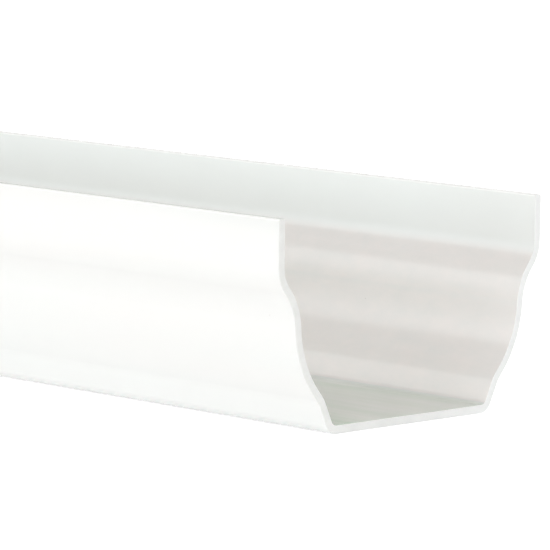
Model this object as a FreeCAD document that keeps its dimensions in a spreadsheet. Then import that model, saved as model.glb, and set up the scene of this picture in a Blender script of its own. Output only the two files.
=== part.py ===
import FreeCAD, Part
import Sketcher
import math
import os

# Gutter section: one length of extruded PVC rain gutter.  Its front and back sides have the same
# ogee shape, so either side can face out.  It lies on its flat floor with the open side up.
#
# Frame, in millimetres: +Z up, X along the gutter, Y across it with the front side at -Y.
# The origin is the middle of the underside of the floor.
#
# Each side is a smooth chain of lines and arcs from the floor up: the floor corner, a straight
# foot, a concave throat, a convex belly, a concave cove, a convex shoulder and a vertical band
# that ends in the rim.  A lean is how far the side slopes outwards from the vertical where two
# pieces of the chain meet.  The belly's radius is whatever fills the height.

SIZES = [
    # alias, value, meaning
    ("gutter_length", 3048.0, "one section, 10 ft"),
    ("top_width", 127.0, "outside width over the two rims, 5 in"),
    ("gutter_height", 73.5, "outside height from floor to rim"),
    ("wall_thickness", 2.8, "extruded wall, the same all round"),
    ("band_depth", 16.0, "straight vertical band under the rim"),
    ("shoulder_radius", 13.5, "convex turn out of the band"),
    ("shoulder_lean", 41.0, "degrees, where shoulder meets cove"),
    ("cove_radius", 20.5, "concave turn under the shoulder"),
    ("waist_lean", 3.2, "degrees, where cove meets belly"),
    ("belly_lean", 43.0, "degrees, where belly meets throat"),
    ("throat_radius", 10.5, "concave turn under the belly"),
    ("foot_lean", 25.0, "degrees, the straight foot"),
    ("foot_length", 7.0, "straight run above the floor corner"),
    ("corner_radius", 5.4, "outside rounding between floor and foot"),
    ("rim_rounding", 0.6, "rounding of both long edges of a rim"),
]
size = {alias: value for alias, value, meaning in SIZES}

doc = FreeCAD.newDocument("gutter_section")

sheet = doc.addObject("Spreadsheet::Sheet", "sizes")
for row, (alias, value, meaning) in enumerate(SIZES, start=1):
    sheet.set(f"A{row}", meaning)
    sheet.set(f"B{row}", str(value))
    sheet.setAlias(f"B{row}", alias)
doc.recompute()

body = doc.addObject("PartDesign::Body", "gutter_section")
body.Label = "gutter_section"
body.Placement = FreeCAD.Placement()


def origin_plane(role):
    """One of the body's own base planes."""
    return next(item for item in body.Origin.OriginFeatures if item.Role == role)


# ---- half section, drawn on the +Y side --------------------------------------------------------
# Local x runs across the gutter and local y up.  The outline is followed counter-clockwise: along
# the floor, up the side, back over the open top and down the centre line.

outline = body.newObject("Sketcher::SketchObject", "half_section")
outline.AttachmentSupport = [(origin_plane("YZ_Plane"), "")]
outline.MapMode = "FlatFace"


class Chain:
    """Adds tangent lines and arcs to a sketch, one after the other."""

    def __init__(self, sketch, start_x, start_y):
        self.sketch = sketch
        self.x, self.y = start_x, start_y
        self.ends = []  # (geometry, index of its first point, index of its last point)

    def line(self, heading, length):
        """A straight run; heading in degrees, counter-clockwise from local +x."""
        end_x = self.x + length * math.cos(math.radians(heading))
        end_y = self.y + length * math.sin(math.radians(heading))
        first = FreeCAD.Vector(self.x, self.y, 0)
        last = FreeCAD.Vector(end_x, end_y, 0)
        geometry = self.sketch.addGeometry(Part.LineSegment(first, last), False)
        self.ends.append((geometry, 1, 2))
        self.x, self.y = end_x, end_y
        return geometry

    def arc(self, radius, heading, next_heading):
        """A turn of the given radius from one heading to the next."""
        left = next_heading > heading
        side = 90 if left else -90
        centre_x = self.x + radius * math.cos(math.radians(heading + side))
        centre_y = self.y + radius * math.sin(math.radians(heading + side))
        first, last = math.radians(heading - side), math.radians(next_heading - side)
        circle = Part.Circle(FreeCAD.Vector(centre_x, centre_y, 0), FreeCAD.Vector(0, 0, 1), radius)
        sweep = (first, last) if left else (last, first)
        geometry = self.sketch.addGeometry(Part.ArcOfCircle(circle, *sweep), False)
        self.ends.append((geometry, 1, 2) if left else (geometry, 2, 1))
        self.x = centre_x + radius * math.cos(last)
        self.y = centre_y + radius * math.sin(last)
        return geometry


def rise(radius, heading, next_heading):
    """How much a turn gains in height."""
    turn = math.cos(math.radians(heading)) - math.cos(math.radians(next_heading))
    return radius * abs(turn)


def run(radius, heading, next_heading):
    """How much a turn gains in width."""
    turn = math.sin(math.radians(heading)) - math.sin(math.radians(next_heading))
    return radius * abs(turn)


floor_way, up = 0, 90
foot_way = up - size["foot_lean"]
throat_way = up - size["belly_lean"]
waist_way = up - size["waist_lean"]
cove_way = up - size["shoulder_lean"]

turns = [
    (size["corner_radius"], floor_way, foot_way),
    (size["throat_radius"], foot_way, throat_way),
    (size["cove_radius"], waist_way, cove_way),
    (size["shoulder_radius"], cove_way, up),
]
foot_rise = size["foot_length"] * math.sin(math.radians(foot_way))
foot_run = size["foot_length"] * math.cos(math.radians(foot_way))
belly_rise = (size["gutter_height"] - size["band_depth"] - foot_rise
              - sum(rise(*turn) for turn in turns))
belly_radius = belly_rise / rise(1, throat_way, waist_way)
turns.append((belly_radius, throat_way, waist_way))
floor_half = size["top_width"] / 2 - foot_run - sum(run(*turn) for turn in turns)

chain = Chain(outline, 0, 0)
floor = chain.line(floor_way, floor_half)
corner = chain.arc(size["corner_radius"], floor_way, foot_way)
foot = chain.line(foot_way, size["foot_length"])
throat = chain.arc(size["throat_radius"], foot_way, throat_way)
belly = chain.arc(belly_radius, throat_way, waist_way)
cove = chain.arc(size["cove_radius"], waist_way, cove_way)
shoulder = chain.arc(size["shoulder_radius"], cove_way, up)
band = chain.line(up, size["band_depth"])
open_top = chain.line(up + 90, size["top_width"] / 2)
centre_line = chain.line(-up, size["gutter_height"])

smooth_joins = zip(chain.ends[:7], chain.ends[1:8])
for (before, _, before_last), (after, after_first, _) in smooth_joins:
    outline.addConstraint(Sketcher.Constraint("Tangent", before, before_last, after, after_first))
for before, after in ((band, open_top), (open_top, centre_line), (centre_line, floor)):
    outline.addConstraint(Sketcher.Constraint("Coincident", before, 2, after, 1))
for geometry in (floor, open_top):
    outline.addConstraint(Sketcher.Constraint("Horizontal", geometry))
for geometry in (band, centre_line):
    outline.addConstraint(Sketcher.Constraint("Vertical", geometry))
outline.addConstraint(Sketcher.Constraint("Coincident", floor, 1, -1, 1))


def drive(kind, geometry, name, value, expression):
    """A dimension of the sketch that follows the sheet."""
    outline.addConstraint(Sketcher.Constraint(kind, geometry, value))
    outline.renameConstraint(outline.ConstraintCount - 1, name)
    outline.setExpression(f"Constraints.{name}", expression)


drive("Distance", open_top, "half_width", size["top_width"] / 2, "sizes.top_width / 2")
drive("Distance", centre_line, "height", size["gutter_height"], "sizes.gutter_height")
drive("Distance", band, "band_depth", size["band_depth"], "sizes.band_depth")
drive("Distance", foot, "foot_length", size["foot_length"], "sizes.foot_length")
drive("Radius", corner, "corner_radius", size["corner_radius"], "sizes.corner_radius")
drive("Radius", throat, "throat_radius", size["throat_radius"], "sizes.throat_radius")
drive("Radius", cove, "cove_radius", size["cove_radius"], "sizes.cove_radius")
drive("Radius", shoulder, "shoulder_radius", size["shoulder_radius"], "sizes.shoulder_radius")
drive("Angle", shoulder, "shoulder_sweep", math.radians(up - cove_way), "sizes.shoulder_lean")
drive("Angle", cove, "cove_sweep", math.radians(waist_way - cove_way),
      "sizes.shoulder_lean - sizes.waist_lean")
drive("Angle", belly, "belly_sweep", math.radians(waist_way - throat_way),
      "sizes.belly_lean - sizes.waist_lean")
drive("Angle", throat, "throat_sweep", math.radians(foot_way - throat_way),
      "sizes.belly_lean - sizes.foot_lean")

# ---- the full length, both sides ---------------------------------------------------------------

half_bar = body.newObject("PartDesign::Pad", "half_bar")
half_bar.Profile = outline
half_bar.SideType = "Symmetric"
half_bar.setExpression("Length", "sizes.gutter_length")

bar = body.newObject("PartDesign::Mirrored", "bar")
bar.Originals = [half_bar]
bar.MirrorPlane = (origin_plane("XZ_Plane"), [""])
body.Tip = bar
doc.recompute()

# ---- the channel: a wall of one thickness, open at the top and at both square-cut ends ----------


def faces_looking(shape, *directions):
    """Names of the flat outermost faces that look along the directions."""
    names = []
    for number, face in enumerate(shape.Faces, start=1):
        if not isinstance(face.Surface, Part.Plane):
            continue
        normal = face.normalAt(0, 0)
        for direction in directions:
            outermost = max(vertex.Point.dot(direction) for vertex in shape.Vertexes)
            here = face.CenterOfMass.dot(direction)
            if normal.dot(direction) > 0.999 and abs(here - outermost) < 1e-6:
                names.append(f"Face{number}")
    return names


X_AXIS, Z_AXIS = FreeCAD.Vector(1, 0, 0), FreeCAD.Vector(0, 0, 1)

channel = body.newObject("PartDesign::Thickness", "channel")
channel.Base = (bar, faces_looking(bar.Shape, X_AXIS, -X_AXIS, Z_AXIS))
channel.Reversed = True
channel.Join = "Intersection"
channel.setExpression("Value", "sizes.wall_thickness")
body.Tip = channel
doc.recompute()

# ---- both long edges of each rim are slightly rounded ------------------------------------------

rim_edges = []
for number, edge in enumerate(channel.Shape.Edges, start=1):
    box = edge.BoundBox
    if box.XLength > 1 and box.ZLength < 1e-6 and box.ZMax > channel.Shape.BoundBox.ZMax - 1e-6:
        rim_edges.append(f"Edge{number}")

rounding = body.newObject("PartDesign::Fillet", "rim_rounding")
rounding.Base = (channel, rim_edges)
rounding.setExpression("Radius", "sizes.rim_rounding")
body.Tip = rounding
doc.recompute()

# ---- checks and output -------------------------------------------------------------------------

for item in doc.Objects:
    if {"Invalid", "Error"} & set(item.State):
        raise RuntimeError(f"{item.Name} did not build: {item.State}")
for node in (body,):
    if node.Shape.isNull() or not node.Shape.isValid():
        raise RuntimeError(f"{node.Label} has no valid solid")

os.makedirs("parts", exist_ok=True)
for node in (body,):
    node.Shape.exportStep(os.path.join("parts", f"{node.Label}.step"))
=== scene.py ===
import math
from functools import reduce
from typing import NamedTuple

import bmesh
import bpy
from bpy.props import FloatProperty, FloatVectorProperty, PointerProperty
from mathutils import Matrix, Vector


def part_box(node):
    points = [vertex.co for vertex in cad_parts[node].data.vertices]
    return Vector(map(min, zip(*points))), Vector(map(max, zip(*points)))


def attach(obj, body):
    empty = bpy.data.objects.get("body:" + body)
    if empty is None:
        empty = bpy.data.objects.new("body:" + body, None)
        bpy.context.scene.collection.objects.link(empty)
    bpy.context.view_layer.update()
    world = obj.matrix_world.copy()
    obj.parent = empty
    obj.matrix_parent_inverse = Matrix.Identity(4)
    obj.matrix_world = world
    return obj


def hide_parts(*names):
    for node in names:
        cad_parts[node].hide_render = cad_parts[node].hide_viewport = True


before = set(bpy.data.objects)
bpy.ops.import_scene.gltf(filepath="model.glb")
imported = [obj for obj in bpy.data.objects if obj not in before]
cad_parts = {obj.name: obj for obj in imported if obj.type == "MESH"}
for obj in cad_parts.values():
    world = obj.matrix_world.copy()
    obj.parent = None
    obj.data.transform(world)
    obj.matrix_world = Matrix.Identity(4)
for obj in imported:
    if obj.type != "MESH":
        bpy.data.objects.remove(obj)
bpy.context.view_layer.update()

bl_info = {
    "name": "Gutter section",
    "version": (1, 0, 0),
    "blender": (4, 5, 0),
    "location": "3D View > Sidebar > Gutter",
    "description": "Dresses one length of vinyl rain gutter and lights it in a plain studio",
    "category": "Object",
}

NODE = "gutter_section"
NODE_LOW, NODE_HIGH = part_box(NODE)
LENGTH, WIDTH, HEIGHT = (high - low for low, high in zip(NODE_LOW, NODE_HIGH))
NEAR_END = Vector((NODE_HIGH[0], 0.0, NODE_LOW[2]))


# ---- settings ----------------------------------------------------------------------------------


def length(name, description, default):
    """A size in metres."""
    return FloatProperty(name=name, description=description, default=default,
                         min=0.0, precision=4, unit="LENGTH")


def lean(name, description, degrees):
    """An angle from the vertical."""
    return FloatProperty(name=name, description=description, default=math.radians(degrees),
                         unit="ROTATION")


def colour(name, description, default):
    """A colour in linear light."""
    return FloatVectorProperty(name=name, description=description, default=default,
                               size=3, min=0.0, max=1.0, subtype="COLOR")


def factor(name, description, default, top=1.0):
    """A plain share or strength."""
    return FloatProperty(name=name, description=description, default=default,
                         min=0.0, max=top, subtype="FACTOR")


def power(name, description, watts):
    """The power of a lamp."""
    return FloatProperty(name=name, description=description, default=watts, min=0.0, unit="POWER")


class GutterProfile(bpy.types.PropertyGroup):
    """The ogee section and the length it is sold in."""

    length: length("Length", "One section from end to end", LENGTH)
    width: length("Width", "Outside width over the two rims", WIDTH)
    height: length("Height", "Outside height from floor to rim", HEIGHT)
    wall: length("Wall", "Thickness of the extruded wall", 0.0028)
    band: length("Band", "Straight vertical band under the rim", 0.016)
    shoulder: length("Shoulder radius", "Convex turn out of the band", 0.0135)
    shoulder_lean: lean("Shoulder lean", "Lean where shoulder meets cove", 41.0)
    cove: length("Cove radius", "Concave turn under the shoulder", 0.0205)
    waist_lean: lean("Waist lean", "Lean where cove meets belly", 3.2)
    belly_lean: lean("Belly lean", "Lean where belly meets throat", 43.0)
    throat: length("Throat radius", "Concave turn under the belly", 0.0105)
    foot: length("Foot", "Straight run above the floor corner", 0.007)
    foot_lean: lean("Foot lean", "Lean of the straight foot", 25.0)
    corner: length("Corner radius", "Outside rounding between floor and foot", 0.0054)
    rim_round: length("Rim rounding", "Rounding of both long edges of a rim", 0.0006)
    cut_round: length("Cut edge", "Slight rounding left on the edges of the saw cut", 0.0002)
    arc_step: FloatProperty(
        name="Arc step", description="Largest turn between two points of an arc",
        default=math.radians(2.0), min=math.radians(0.5), unit="ROTATION")


class VinylFinish(bpy.types.PropertyGroup):
    """Colours and finish of the vinyl."""

    skin: colour("Skin", "Extruded face of the vinyl", (0.842, 0.852, 0.844))
    skin_cool: colour("Cool skin", "The same face where it looks a little greener",
                      (0.828, 0.854, 0.842))
    skin_warm: colour("Warm skin", "The same face where it looks a little pinker",
                      (0.854, 0.844, 0.834))
    # Painted highlight: the tops of both rims are made paler to show a bright line along each rim.
    rim_highlight: colour("Rim", "Tops of the two rims, rubbed a little paler", (0.950, 0.955, 0.945))
    # Painted shade: a fine dark line on the inner half of the front rim's top.
    front_rim_shade: colour("Edge line", "Fine grime along the inner edge of the front rim",
                      (0.420, 0.460, 0.410))
    # Painted shade on the front side of the saw cut, and painted light on its back side.
    cut_front_shade: colour("Saw cut in front", "Bare vinyl of the cut ends on the front side",
                      (0.861, 0.869, 0.852))
    cut_back_light: colour("Saw cut at the back", "The same on the back side, a little paler",
                     (0.922, 0.937, 0.938))
    # Painted light: the inside of the walls is made paler and warmer.
    inner_wall_light: colour("Lining", "Inside of the walls, a little warmer and paler",
                   (0.939, 0.900, 0.880))
    inner_wall_light_share: factor("Lining cover", "How far the inside takes the colour of the lining", 0.90)
    # Painted light: the inside of the vertical bands is made paler and greener.
    lit_inner_band: colour("Inner band", "Inside of the vertical bands, a little greener and paler",
                       (0.868, 0.900, 0.892))
    # Painted shade: the inside is made darker next to the cut ends.
    cut_end_shade: colour("Handled", "Duller vinyl inside, next to the cut ends", (0.560, 0.540, 0.510))
    cut_end_shade_share: factor("Handled cover", "How much of the inside this hides at most", 0.13)
    # Browner and darker where the inside faces up, in streaks.
    upward_brown: colour("Dust", "Film that settles where the inside faces up", (0.690, 0.625, 0.550))
    upward_brown_share: factor("Dust cover", "How much of the skin the film hides at most", 0.05)
    # Greener and darker on the floor of the channel, most toward its sides and front, thinner in
    # the corners.
    floor_green: colour("Green bloom", "Faint growth where water stands on the floor",
                  (0.460, 0.610, 0.460))
    floor_green_share: factor("Bloom cover", "How much of the floor the bloom hides at most", 0.40)
    chip: colour("Chips", "Tiny pale saw chips on the skin", (0.930, 0.930, 0.920))
    grit: colour("Grit", "Tiny dark grains on the skin", (0.560, 0.540, 0.490))
    line_depth: length("Extrusion lines", "Depth of the faint lines along the skin", 0.00002)
    saw_depth: length("Saw marks", "Depth of the arcs that the saw leaves", 0.00006)


class StudioSettings(bpy.types.PropertyGroup):
    """Floor, lamps and camera."""

    floor: colour("Floor", "Plain pale floor", (0.95, 0.95, 0.95))
    floor_lift: factor("Floor lift", "Light that only the eye sees on the floor", 0.66)
    low_light: factor("Low light", "Soft light from all round at the height of the horizon", 2.14,
                      top=4.0)
    low_tint: colour("Low tint", "Colour of the low light", (0.978, 1.0, 1.0))
    high_light: factor("High light", "Soft light from straight above", 0.90, top=4.0)
    high_tint: colour("High tint", "Colour of the light from above", (1.0, 0.965, 0.930))
    backdrop: factor("Backdrop", "How bright the backdrop looks by reflection", 1.0)
    front_low_power: power("Low front lamp", "Wide soft lamp in front, near the floor", 16.0)
    front_tint: colour("Front tint", "Colour of the low front lamp", (1.0, 0.975, 0.970))
    front_high_power: power("High front lamp", "Wide soft lamp in front, higher up", 46.0)
    back_power: power("Back lamp", "Wide soft lamp behind, higher up", 41.5)
    lens: FloatProperty(name="Lens", description="Focal length of the camera in millimetres",
                        default=303.95, min=1.0)


# ---- the gutter ---------------------------------------------------------------------------------


UP = math.pi / 2
QUARTER_TURN = math.pi / 2
SAME_PLACE = 1e-6
FEWEST_ARC_STEPS = 3
SHARP_EDGE = math.radians(80)
RIM_SEGMENTS = 5
CUT_SEGMENTS = 2
SKIN_INDEX, CUT_INDEX = 0, 1
FACES_THE_END = 0.5


def cross_way(heading):
    """The direction of a heading in the plane across the gutter."""
    return Vector((0.0, math.cos(heading), math.sin(heading)))


class SectionPen:
    """Draws one smooth chain in a mesh, in the plane across the gutter, from the floor up."""

    def __init__(self, mesh, x, inset, step):
        self.mesh = mesh
        self.inset = inset
        self.step = step
        self.heading = 0.0
        self.tip = bmesh.ops.create_vert(mesh, co=(x, 0.0, inset))["vert"][0]

    def line(self, run):
        """A straight run along the heading."""
        made = bmesh.ops.extrude_vert_indiv(self.mesh, verts=[self.tip])
        self.tip = made["verts"][0]
        bmesh.ops.translate(self.mesh, verts=[self.tip], vec=cross_way(self.heading) * run)

    def turn(self, radius, heading):
        """An arc to a new heading; the radius is that of the outside face."""
        left = heading > self.heading
        own = radius - self.inset if left else radius + self.inset
        across = self.heading + (QUARTER_TURN if left else -QUARTER_TURN)
        angle = heading - self.heading
        made = bmesh.ops.spin(
            self.mesh, geom=[self.tip], cent=self.tip.co + cross_way(across) * own,
            axis=(1.0, 0.0, 0.0), angle=angle,
            steps=max(FEWEST_ARC_STEPS, math.ceil(abs(angle) / self.step)), use_merge=False,
            use_normal_flip=False, use_duplicate=False)
        self.tip = next(item for item in made["geom_last"] if isinstance(item, bmesh.types.BMVert))
        self.heading = heading


def rise_and_run(radius, heading, next_heading):
    """How much a turn gains in height and in width."""
    rise = radius * abs(math.cos(heading) - math.cos(next_heading))
    run = radius * abs(math.sin(heading) - math.sin(next_heading))
    return rise, run


def draw_half(mesh, profile, x, inset):
    """Half of the section, on the +Y side, inset from the outside face."""
    foot_way, throat_way = UP - profile.foot_lean, UP - profile.belly_lean
    waist_way, cove_way = UP - profile.waist_lean, UP - profile.shoulder_lean
    turns = [
        rise_and_run(profile.corner, 0.0, foot_way),
        rise_and_run(profile.throat, foot_way, throat_way),
        rise_and_run(profile.cove, waist_way, cove_way),
        rise_and_run(profile.shoulder, cove_way, UP),
        (profile.foot * math.sin(foot_way), profile.foot * math.cos(foot_way)),
    ]
    belly_rise = profile.height - profile.band - sum(rise for rise, run in turns)
    belly = belly_rise / rise_and_run(1.0, throat_way, waist_way)[0]
    turns.append(rise_and_run(belly, throat_way, waist_way))
    floor_half = profile.width / 2 - sum(run for rise, run in turns)

    pen = SectionPen(mesh, x, inset, profile.arc_step)
    pen.line(floor_half)
    pen.turn(profile.corner, foot_way)
    pen.line(profile.foot)
    pen.turn(profile.throat, throat_way)
    pen.turn(belly, waist_way)
    pen.turn(profile.cove, cove_way)
    pen.turn(profile.shoulder, UP)
    pen.line(profile.band)


def whole_outline(mesh, profile, x, inset):
    """Both halves of one outline as a single open chain of edges."""
    known = set(mesh.edges)
    draw_half(mesh, profile, x, inset)
    half = [edge for edge in mesh.edges if edge not in known]
    points = list(dict.fromkeys(point for edge in half for point in edge.verts))
    bmesh.ops.mirror(mesh, geom=points + half, matrix=Matrix.Identity(4), merge_dist=-1.0, axis="Y")
    middle = [point for point in mesh.verts
              if abs(point.co.y) < SAME_PLACE and abs(point.co.z - inset) < SAME_PLACE]
    bmesh.ops.remove_doubles(mesh, verts=middle, dist=SAME_PLACE)
    return [edge for edge in mesh.edges if edge not in known]


def lies_across(edge):
    """Whether an edge stays in one plane across the gutter."""
    first, second = edge.verts
    return abs(first.co.x - second.co.x) < SAME_PLACE


def ease(mesh, edges, offset, segments):
    """Rounds the given edges."""
    bmesh.ops.bevel(mesh, geom=edges, offset=offset, affect="EDGES", segments=segments,
                    profile=0.5, material=-1)


def place_mesh(mesh, name):
    """Turns a finished mesh into an object of the scene."""
    data = bpy.data.meshes.new(name)
    mesh.to_mesh(data)
    mesh.free()
    made = bpy.data.objects.new(name, data)
    bpy.context.scene.collection.objects.link(made)
    return made


def build_gutter(profile, name):
    """The whole gutter: outside and inside outlines bridged, run out lengthwise, edges eased."""
    mesh = bmesh.new()
    start = -profile.length / 2
    outside = whole_outline(mesh, profile, start, 0.0)
    inside = whole_outline(mesh, profile, start, profile.wall)
    bmesh.ops.bridge_loops(mesh, edges=outside + inside)
    made = bmesh.ops.extrude_face_region(mesh, geom=mesh.faces[:])
    far = [item for item in made["geom"] if isinstance(item, bmesh.types.BMVert)]
    bmesh.ops.translate(mesh, verts=far, vec=(profile.length, 0.0, 0.0))
    bmesh.ops.recalc_face_normals(mesh, faces=mesh.faces[:])

    top = profile.height - SAME_PLACE
    ease(mesh, [edge for edge in mesh.edges
                if all(point.co.z > top for point in edge.verts)
                and edge.calc_length() > profile.length / 2],
         profile.rim_round, RIM_SEGMENTS)
    ease(mesh, [edge for edge in mesh.edges
                if len(edge.link_faces) == 2 and edge.calc_face_angle() > SHARP_EDGE
                and lies_across(edge)],
         profile.cut_round, CUT_SEGMENTS)

    for edge in mesh.edges:
        edge.smooth = not lies_across(edge)
    for face in mesh.faces:
        face.smooth = True
        face.material_index = CUT_INDEX if abs(face.normal.x) > FACES_THE_END else SKIN_INDEX
    return place_mesh(mesh, name)


# ---- materials ----------------------------------------------------------------------------------


class Ramp(NamedTuple):
    """What a value is turned into: before its start, past its stop, and evenly between them."""

    start: float
    stop: float
    before: float = 0.0
    after: float = 1.0


class Pattern(NamedTuple):
    """Noise with its repeats in a metre along each axis, and the ramp that shapes it."""

    repeats: tuple
    ramp: Ramp
    detail: float = 2.0
    roughness: float = 0.5


HALF_LENGTH, HALF_WIDTH = LENGTH / 2, WIDTH / 2
WHITE = (1.0, 1.0, 1.0)

# Which way a face looks, read from the upward part of its normal.
LOOKS_INWARD = Ramp(0.02, 0.10)
STEEP_AS_A_WALL = Ramp(0.70, 0.78, 1.0, 0.0)
TILTS_UPWARD = Ramp(0.30, 0.68)
LIES_FLAT = Ramp(0.74, 0.95)

# Heights over the underside, in metres.
UNDER_THE_BAND = Ramp(0.053, 0.056, 1.0, 0.0)
UP_IN_THE_BAND = Ramp(0.052, 0.055)
UNDER_THE_RIM = Ramp(HEIGHT - 0.004, HEIGHT - 0.002, 1.0, 0.0)
TOP_OF_THE_RIM = Ramp(HEIGHT - 0.0009, HEIGHT - 0.0003)

# Distances from the middle plane; where only one side counts, the front is negative.
INSIDE_THE_BAND = Ramp(HALF_WIDTH - 0.0018, HALF_WIDTH - 0.0010, 1.0, 0.0)
INNER_HALF_OF_FRONT_RIM = Ramp(0.0013 - HALF_WIDTH, 0.0016 - HALF_WIDTH)
FRONT_SIDE = Ramp(0.0, 0.001, 1.0, 0.0)
FLOOR_GREEN_TOWARD_SIDES = Ramp(0.018, 0.030, 1.0, 1.90)
FLOOR_GREEN_THINS_IN_CORNERS = Ramp(0.030, 0.035, 1.0, 0.50)
FLOOR_GREEN_FRONT_TO_BACK = Ramp(-0.030, 0.016, 1.75, 0.92)
CUT_FRONT_TO_BACK = Ramp(-0.050, 0.050)

# Distance from the middle of the length.
NEXT_TO_THE_CUT = Ramp(HALF_LENGTH - 0.060, HALF_LENGTH - 0.018)

SKIN_TONE = Pattern((6.0, 45.0, 45.0), Ramp(0.30, 0.70))
SKIN_GLOSS = Pattern((3.0, 40.0, 40.0), Ramp(0.30, 0.70, 0.10, 0.14))
INNER_WALL_LIGHT_BLOTCHES = Pattern((80.0, 140.0, 140.0), Ramp(0.32, 0.68, 0.45, 1.0), 4.0, 0.65)
UPWARD_BROWN_STREAKS = Pattern((5.0, 220.0, 220.0), Ramp(0.35, 0.65, 0.45, 1.0), 3.0)
FLOOR_GREEN_RUNS = Pattern((16.0, 110.0, 110.0), Ramp(0.33, 0.67, 0.35, 1.0), 4.0)
CUT_PATCHES = Pattern((160.0, 160.0, 160.0), Ramp(0.30, 0.70), 3.0)

SKIN_TINT_SHARE = 0.6
LIT_INNER_BAND_SHARE = 0.8
EXTRUSION_REPEATS, EXTRUSION_ROUGHNESS = (0.8, 900.0, 900.0), 0.6
EXTRUSION_STRENGTH = 0.2
SKIN_IOR, SKIN_SPECULAR = 1.60, 0.75

GRIT_REPEATS, GRIT_SIZE, GRIT_SHARE = (42.0, 42.0, 42.0), 0.009, 0.7
CHIP_REPEATS, CHIP_SIZE = (55.0, 50.0, 50.0), 0.014
SPECK_CORE = 0.6

IN_THE_CUT_PLANE = (0.0, 1.0, 1.0)
SAW_ARC_SCALE, SAW_ARC_DISTORTION = 240.0, 2.5
SAW_ARC_DETAIL, SAW_ARC_DETAIL_SCALE = 2.0, 1.5
SAW_GRAIN_REPEATS, SAW_GRAIN_SHARE = (1400.0, 1400.0, 1400.0), 0.35
SAW_STRENGTH = 0.4
CUT_PATCH_SHARE = 0.35
CUT_ROUGHNESS, CUT_IOR = 0.62, 1.53


class Wiring:
    """Short ways to add and join the nodes of one material or world."""

    def __init__(self, owner):
        owner.use_nodes = True
        self.tree = owner.node_tree
        self.tree.nodes.clear()

    def node(self, kind, settings=None, **inputs):
        """A node with its settings, and its input sockets set or joined by name."""
        made = self.tree.nodes.new(kind)
        for key, value in (settings or {}).items():
            setattr(made, key, value)
        for key, value in inputs.items():
            self.feed(made, key.replace("_", " "), value)
        return made

    def feed(self, node, socket, value):
        """Sets a socket, or joins it when the value is another node's output."""
        target = node.inputs[socket]
        if isinstance(value, bpy.types.NodeSocket):
            self.tree.links.new(value, target)
        else:
            target.default_value = value


def maths(wiring, operation, *values):
    """One step of arithmetic on one or two values."""
    made = wiring.node("ShaderNodeMath", {"operation": operation})
    for socket, value in enumerate(values):
        wiring.feed(made, socket, value)
    return made.outputs[0]


def times(wiring, *values):
    """The product of several values."""
    return reduce(lambda product, value: maths(wiring, "MULTIPLY", product, value), values)


def axes(wiring, vector):
    """The X, Y and Z of a vector, by name."""
    return wiring.node("ShaderNodeSeparateXYZ", Vector=vector).outputs


def object_place(wiring):
    """Where a point lies, in the object's own coordinates."""
    return wiring.node("ShaderNodeTexCoord").outputs["Object"]


def stretched(wiring, repeats):
    """The point's place, multiplied by a factor on each axis."""
    mapping = wiring.node("ShaderNodeMapping", {"vector_type": "POINT"},
                          Vector=object_place(wiring), Scale=repeats)
    return mapping.outputs["Vector"]


def noise(wiring, repeats, detail=2.0, roughness=0.5):
    """Plain noise with its repeats in a metre along each axis."""
    made = wiring.node("ShaderNodeTexNoise", Vector=stretched(wiring, repeats), Scale=1.0,
                       Detail=detail, Roughness=roughness)
    return made.outputs["Fac"]


def remap(wiring, value, ramp):
    """A value turned into another by a ramp."""
    made = wiring.node("ShaderNodeMapRange", {"clamp": True}, Value=value)
    for socket, number in zip(("From Min", "From Max", "To Min", "To Max"), ramp):
        made.inputs[socket].default_value = number
    return made.outputs["Result"]


def drawn(wiring, pattern):
    """A noise pattern shaped by its own ramp."""
    plain = noise(wiring, pattern.repeats, pattern.detail, pattern.roughness)
    return remap(wiring, plain, pattern.ramp)


def blend(wiring, share, first, second):
    """Two colours mixed by a share."""
    made = wiring.node("ShaderNodeMix", {"data_type": "RGBA"})
    wiring.feed(made, 0, share)
    for socket, value in ((6, first), (7, second)):
        if isinstance(value, bpy.types.NodeSocket):
            wiring.feed(made, socket, value)
        else:
            made.inputs[socket].default_value = (*value, 1.0)
    return made.outputs[2]


def specks(wiring, repeats, size):
    """1 inside small round specks scattered over the surface, else 0."""
    cells = wiring.node("ShaderNodeTexVoronoi", {"feature": "F1"},
                        Vector=stretched(wiring, repeats), Scale=1.0, Randomness=1.0)
    return remap(wiring, cells.outputs["Distance"], Ramp(size * SPECK_CORE, size, 1.0, 0.0))


class Spot:
    """Where a point of the skin lies and how far it faces up."""

    def __init__(self, wiring):
        surface = wiring.node("ShaderNodeNewGeometry")
        self.facing = axes(wiring, surface.outputs["Normal"])["Z"]
        place = axes(wiring, object_place(wiring))
        self.side, self.height = place["Y"], place["Z"]
        self.along = maths(wiring, "ABSOLUTE", place["X"])
        self.across = maths(wiring, "ABSOLUTE", self.side)


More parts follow.
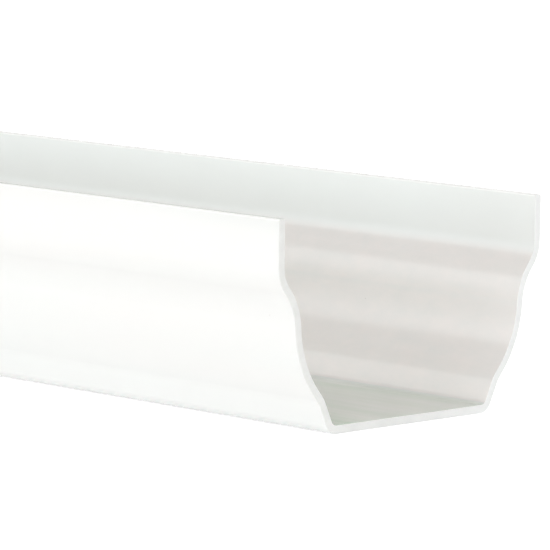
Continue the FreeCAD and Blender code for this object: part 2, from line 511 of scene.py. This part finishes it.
def inside_colour(wiring, finish, spot, body):
    """Adds painted light on the inner walls (paler and warmer), painted light on the inner bands
    (paler and greener), and painted shade on the inside next to the cut ends.
    """
    inward = remap(wiring, spot.facing, LOOKS_INWARD)
    wall = times(wiring, inward, remap(wiring, spot.facing, STEEP_AS_A_WALL),
                 remap(wiring, spot.height, UNDER_THE_BAND))
    # Painted light: the inner walls under the bands are made paler and warmer, in blotches.
    inner_wall_light = times(wiring, wall, drawn(wiring, INNER_WALL_LIGHT_BLOTCHES), finish.inner_wall_light_share)
    body = blend(wiring, inner_wall_light, body, finish.inner_wall_light)

    # Painted light: the inside of the vertical bands is made paler and greener.
    lit_inner_band = times(wiring, remap(wiring, spot.across, INSIDE_THE_BAND),
                       remap(wiring, spot.height, UP_IN_THE_BAND))
    body = blend(wiring, times(wiring, lit_inner_band, LIT_INNER_BAND_SHARE), body, finish.lit_inner_band)

    # Painted shade: the inside is made darker next to the cut ends.
    cut_end_shade = times(wiring, maths(wiring, "MAXIMUM", lit_inner_band, inward),
                    remap(wiring, spot.along, NEXT_TO_THE_CUT), finish.cut_end_shade_share)
    return blend(wiring, cut_end_shade, body, finish.cut_end_shade)


def upward_and_floor_tones(wiring, finish, spot, body):
    """Adds a browner, darker tone where the inside faces up, and a greener, darker tone on the
    floor.
    """
    open_sky = remap(wiring, spot.height, UNDER_THE_RIM)
    # Browner and darker where the inside faces up, in streaks, not near the rim tops.
    upward_brown = times(wiring, remap(wiring, spot.facing, TILTS_UPWARD), open_sky,
                 drawn(wiring, UPWARD_BROWN_STREAKS), finish.upward_brown_share)
    body = blend(wiring, upward_brown, body, finish.upward_brown)

    # Greener and darker on the floor of the channel, most toward its sides and front, thinner in
    # the corners.
    floor_green = times(wiring, remap(wiring, spot.facing, LIES_FLAT), open_sky,
                  drawn(wiring, FLOOR_GREEN_RUNS), remap(wiring, spot.across, FLOOR_GREEN_TOWARD_SIDES),
                  remap(wiring, spot.across, FLOOR_GREEN_THINS_IN_CORNERS),
                  remap(wiring, spot.side, FLOOR_GREEN_FRONT_TO_BACK), finish.floor_green_share)
    return blend(wiring, floor_green, body, finish.floor_green)


def vinyl_skin(finish):
    """Extruded white vinyl: soft gloss, faint lines along it, painted light and shade inside and on
    the rims, and browner and greener tones inside.
    """
    material = bpy.data.materials.new("white_vinyl_skin")
    wiring = Wiring(material)
    spot = Spot(wiring)

    tint = blend(wiring, drawn(wiring, SKIN_TONE), finish.skin_warm, finish.skin_cool)
    body = blend(wiring, SKIN_TINT_SHARE, finish.skin, tint)
    body = inside_colour(wiring, finish, spot, body)
    body = upward_and_floor_tones(wiring, finish, spot, body)
    grit = times(wiring, specks(wiring, GRIT_REPEATS, GRIT_SIZE), GRIT_SHARE)
    body = blend(wiring, grit, body, finish.grit)
    body = blend(wiring, specks(wiring, CHIP_REPEATS, CHIP_SIZE), body, finish.chip)

    # Painted highlight: the tops of both rims take the paler rim colour.
    rim_top = remap(wiring, spot.height, TOP_OF_THE_RIM)
    body = blend(wiring, rim_top, body, finish.rim_highlight)
    # Painted shade: a fine dark line on the inner half of the front rim's top, which is also made
    # rougher.
    shade_line_mask = times(wiring, rim_top, remap(wiring, spot.side, INNER_HALF_OF_FRONT_RIM),
                  remap(wiring, spot.side, FRONT_SIDE))
    body = blend(wiring, shade_line_mask, body, finish.front_rim_shade)

    roughness = maths(wiring, "MAXIMUM", drawn(wiring, SKIN_GLOSS), shade_line_mask)
    lines = noise(wiring, EXTRUSION_REPEATS, roughness=EXTRUSION_ROUGHNESS)
    bump = wiring.node("ShaderNodeBump", Strength=EXTRUSION_STRENGTH, Distance=finish.line_depth,
                       Height=lines)
    shader = wiring.node("ShaderNodeBsdfPrincipled", Base_Color=body, Roughness=roughness,
                         Normal=bump.outputs["Normal"], IOR=SKIN_IOR,
                         Specular_IOR_Level=SKIN_SPECULAR)
    wiring.node("ShaderNodeOutputMaterial", Surface=shader.outputs["BSDF"])
    return material


def vinyl_cut(finish):
    """The sawn end: matt, darker on the front side as painted shade and paler toward the back as
    painted light, with the arcs of the saw.
    """
    material = bpy.data.materials.new("white_vinyl_saw_cut")
    wiring = Wiring(material)
    side = axes(wiring, object_place(wiring))["Y"]
    # Painted shade on the front side of the cut, and painted light toward the back.
    body = blend(wiring, remap(wiring, side, CUT_FRONT_TO_BACK), finish.cut_front_shade, finish.cut_back_light)
    patches = times(wiring, drawn(wiring, CUT_PATCHES), CUT_PATCH_SHARE)
    body = blend(wiring, patches, body, WHITE)

    arcs = wiring.node("ShaderNodeTexWave", {"wave_type": "RINGS", "rings_direction": "X"},
                       Vector=stretched(wiring, IN_THE_CUT_PLANE), Scale=SAW_ARC_SCALE,
                       Distortion=SAW_ARC_DISTORTION, Detail=SAW_ARC_DETAIL,
                       Detail_Scale=SAW_ARC_DETAIL_SCALE)
    relief = blend(wiring, SAW_GRAIN_SHARE, arcs.outputs["Color"],
                   noise(wiring, SAW_GRAIN_REPEATS))
    bump = wiring.node("ShaderNodeBump", Strength=SAW_STRENGTH, Distance=finish.saw_depth,
                       Height=relief)
    shader = wiring.node("ShaderNodeBsdfPrincipled", Base_Color=body, Roughness=CUT_ROUGHNESS,
                         Normal=bump.outputs["Normal"], IOR=CUT_IOR)
    wiring.node("ShaderNodeOutputMaterial", Surface=shader.outputs["BSDF"])
    return material


# ---- the stage ----------------------------------------------------------------------------------


FLOOR_HALF_WIDTH = 60.0
FLOOR_GAP = 0.0002

# Heights of a direction in the world: 0 at the horizon, 1 straight up.
LOW_LIGHT_HEIGHTS = (0.0, 0.50)
HIGH_LIGHT_HEIGHTS = (0.50, 0.90)
BACKDROP_EDGE = (0.44, 0.535)

# The camera's place is measured from the foot of the near end.
CAMERA_PLACE = Vector((1.06362, -1.12172, 0.24391))
VIEW_WAY = Vector((-0.703894, 0.699261, -0.124774))
VIEW_UP = Vector((-0.099362, 0.077001, 0.992068))
SENSOR_WIDTH = 36.0
CLIP_START, CLIP_END = 0.05, 200.0


class Softbox(NamedTuple):
    """A lamp's name, its place from the foot of the near end, and its width and height."""

    name: str
    place: tuple
    size: tuple


FRONT_LOW = Softbox("front_low_lamp", (-0.12, -3.96, 0.60), (4.0, 1.0))
FRONT_HIGH = Softbox("front_high_lamp", (-0.12, -3.06, 2.61), (4.0, 1.0))
BACK_HIGH = Softbox("back_lamp", (-0.12, 3.06, 2.61), (4.0, 1.5))


def chosen(wiring, share, first, second):
    """One of two shaders, or a mix of both, by a share."""
    mix = wiring.node("ShaderNodeMixShader")
    for socket, value in enumerate((share, first, second)):
        wiring.feed(mix, socket, value)
    return mix.outputs[0]


def added(wiring, first, second):
    """Two shaders added up."""
    both = wiring.node("ShaderNodeAddShader")
    wiring.feed(both, 0, first)
    wiring.feed(both, 1, second)
    return both.outputs[0]


def background(wiring, tint, strength):
    """Light from the world in one colour."""
    return wiring.node("ShaderNodeBackground", Color=(*tint, 1.0), Strength=strength).outputs[0]


def seen_rays(wiring):
    """1 for rays that show a surface to the eye, straight or by gloss or glass, else 0."""
    path = wiring.node("ShaderNodeLightPath").outputs
    either = maths(wiring, "MAXIMUM", path["Is Camera Ray"], path["Is Glossy Ray"])
    return maths(wiring, "MAXIMUM", either, path["Is Transmission Ray"])


def studio_floor(settings):
    """A wide flat floor under the gutter, white to the eye, that keeps the shadow."""
    mesh = bmesh.new()
    bmesh.ops.create_grid(mesh, x_segments=1, y_segments=1, size=FLOOR_HALF_WIDTH)
    bmesh.ops.translate(mesh, verts=mesh.verts[:], vec=(0.0, 0.0, NODE_LOW[2] - FLOOR_GAP))
    floor = place_mesh(mesh, "studio_floor")

    material = bpy.data.materials.new("pale_floor")
    wiring = Wiring(material)
    matt = wiring.node("ShaderNodeBsdfDiffuse", Color=(*settings.floor, 1.0))
    lift = times(wiring, seen_rays(wiring), settings.floor_lift)
    glow = wiring.node("ShaderNodeEmission", Color=(*WHITE, 1.0), Strength=lift)
    wiring.node("ShaderNodeOutputMaterial",
                Surface=added(wiring, matt.outputs[0], glow.outputs[0]))
    floor.data.materials.append(material)


def studio_world(settings):
    """Soft light from all round, strongest near the horizon, and a white backdrop."""
    world = bpy.data.worlds.new("studio")
    bpy.context.scene.world = world
    wiring = Wiring(world)
    sky = wiring.node("ShaderNodeTexCoord").outputs["Generated"]
    height = axes(wiring, sky)["Z"]
    low = remap(wiring, height, Ramp(*LOW_LIGHT_HEIGHTS, settings.low_light, 0.0))
    high = remap(wiring, height, Ramp(*HIGH_LIGHT_HEIGHTS, 0.0, settings.high_light))
    shine = remap(wiring, height, Ramp(*BACKDROP_EDGE, settings.backdrop, 0.0))
    soft = added(wiring, background(wiring, settings.low_tint, low),
                 background(wiring, settings.high_tint, high))
    mirrored = background(wiring, WHITE, shine)
    white = background(wiring, WHITE, 1.0)
    path = wiring.node("ShaderNodeLightPath").outputs
    seen = chosen(wiring, path["Is Glossy Ray"], soft, mirrored)
    seen = chosen(wiring, path["Is Transmission Ray"], seen, white)
    seen = chosen(wiring, path["Is Camera Ray"], seen, white)
    wiring.node("ShaderNodeOutputWorld", Surface=seen)


def studio_lamp(plan, watts, tint=WHITE):
    """A large rectangular lamp, turned to the near end, that the camera doesn't see."""
    lamp = bpy.data.lights.new(plan.name, "AREA")
    lamp.shape = "RECTANGLE"
    lamp.size, lamp.size_y = plan.size
    lamp.energy = watts
    lamp.color = tint
    holder = bpy.data.objects.new(plan.name, lamp)
    holder.location = NEAR_END + Vector(plan.place)
    to_end = NEAR_END - holder.location
    holder.rotation_euler = to_end.to_track_quat("-Z", "Y").to_euler()
    holder.visible_camera = False
    bpy.context.scene.collection.objects.link(holder)


def studio_camera(settings):
    """A long lens a little above the rims, looking along the near end from the front."""
    turn = Matrix((VIEW_WAY.cross(VIEW_UP), VIEW_UP, -VIEW_WAY)).transposed().to_4x4()
    camera = bpy.data.cameras.new("studio_camera")
    camera.lens = settings.lens
    camera.sensor_width = SENSOR_WIDTH
    camera.clip_start, camera.clip_end = CLIP_START, CLIP_END
    holder = bpy.data.objects.new("studio_camera", camera)
    holder.matrix_world = Matrix.Translation(NEAR_END + CAMERA_PLACE) @ turn
    bpy.context.scene.collection.objects.link(holder)
    bpy.context.scene.camera = holder


# ---- operators and panel ------------------------------------------------------------------------


class GUTTER_OT_build_section(bpy.types.Operator):
    """Build the vinyl gutter over its CAD node"""

    bl_idname = "gutter.build_section"
    bl_label = "Build gutter"

    def execute(self, context):
        piece = build_gutter(context.scene.gutter_profile, "vinyl_gutter")
        finish = context.scene.vinyl_finish
        piece.data.materials.append(vinyl_skin(finish))
        piece.data.materials.append(vinyl_cut(finish))
        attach(piece, "root")
        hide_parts(NODE)
        return {"FINISHED"}


class GUTTER_OT_build_studio(bpy.types.Operator):
    """Set up the floor, the lamps, the backdrop and the camera"""

    bl_idname = "gutter.build_studio"
    bl_label = "Build studio"

    def execute(self, context):
        settings = context.scene.studio_settings
        studio_floor(settings)
        studio_world(settings)
        studio_lamp(FRONT_LOW, settings.front_low_power, settings.front_tint)
        studio_lamp(FRONT_HIGH, settings.front_high_power)
        studio_lamp(BACK_HIGH, settings.back_power)
        studio_camera(settings)
        context.scene.view_settings.view_transform = "Standard"
        return {"FINISHED"}


class GUTTER_PT_panel(bpy.types.Panel):
    """Gutter section settings and builders"""

    bl_idname = "GUTTER_PT_panel"
    bl_label = "Gutter section"
    bl_space_type = "VIEW_3D"
    bl_region_type = "UI"
    bl_category = "Gutter"

    def draw(self, context):
        for operator in OPERATORS:
            self.layout.operator(operator.bl_idname)
        for title, _, pointer in GROUPS:
            box = self.layout.box()
            box.label(text=title)
            settings = getattr(context.scene, pointer)
            for name in settings.bl_rna.properties.keys():
                if name not in ("rna_type", "name"):
                    box.prop(settings, name)


OPERATORS = (GUTTER_OT_build_section, GUTTER_OT_build_studio)
GROUPS = (
    ("Profile", GutterProfile, "gutter_profile"),
    ("Finish", VinylFinish, "vinyl_finish"),
    ("Studio", StudioSettings, "studio_settings"),
)


def register():
    for _, group, pointer in GROUPS:
        bpy.utils.register_class(group)
        setattr(bpy.types.Scene, pointer, PointerProperty(type=group))
    for operator in OPERATORS:
        bpy.utils.register_class(operator)
    bpy.utils.register_class(GUTTER_PT_panel)


def unregister():
    bpy.utils.unregister_class(GUTTER_PT_panel)
    for operator in reversed(OPERATORS):
        bpy.utils.unregister_class(operator)
    for _, group, pointer in reversed(GROUPS):
        delattr(bpy.types.Scene, pointer)
        bpy.utils.unregister_class(group)


def main():
    register()
    bpy.ops.gutter.build_section()
    bpy.ops.gutter.build_studio()


if __name__ == "__main__":
    main()
